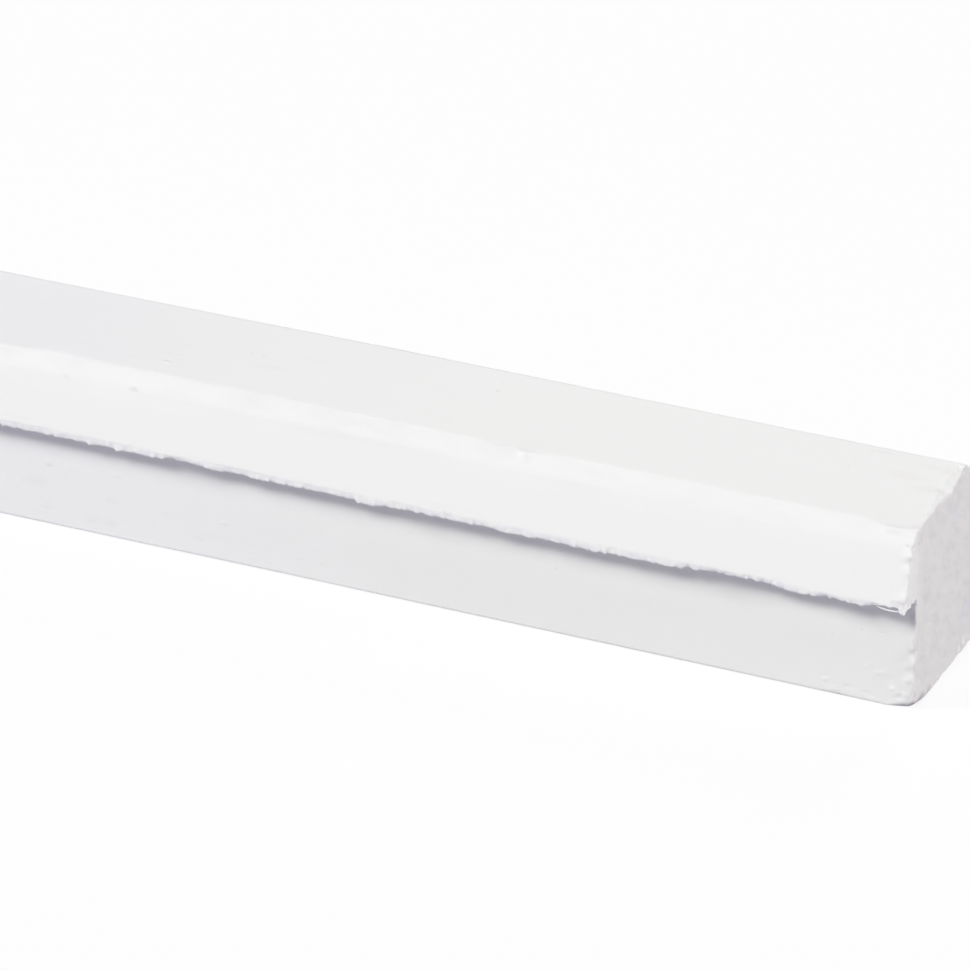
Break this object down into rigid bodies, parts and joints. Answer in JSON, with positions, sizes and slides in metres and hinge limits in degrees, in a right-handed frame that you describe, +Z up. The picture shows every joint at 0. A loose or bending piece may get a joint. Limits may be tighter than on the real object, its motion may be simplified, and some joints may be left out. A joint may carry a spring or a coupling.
{
  "type": "glazing bead",
  "caption": "Length of white primed timber glazing bead with a projecting, splayed nose that sheds water clear of the frame, a sloped top and a sealant bevel at the glass side.",
  "frame": {"origin": "centre of the bounding box at its bottom, on the plane of the seat", "axes": "+X along the length, towards the end that the picture shows; +Y towards the glass, so the nose faces -Y; +Z up from the seat"},
  "size_m": [2.4, 0.019, 0.02],
  "materials": {
    "primed_timber": "thin matt white factory primer over fine-grained timber, rubbed thin along the arrises and taken into the grain at the sawn ends"
  },
  "bodies": {
    "root": {"glazing_bead": "primed_timber"}
  },
  "joints": []
}
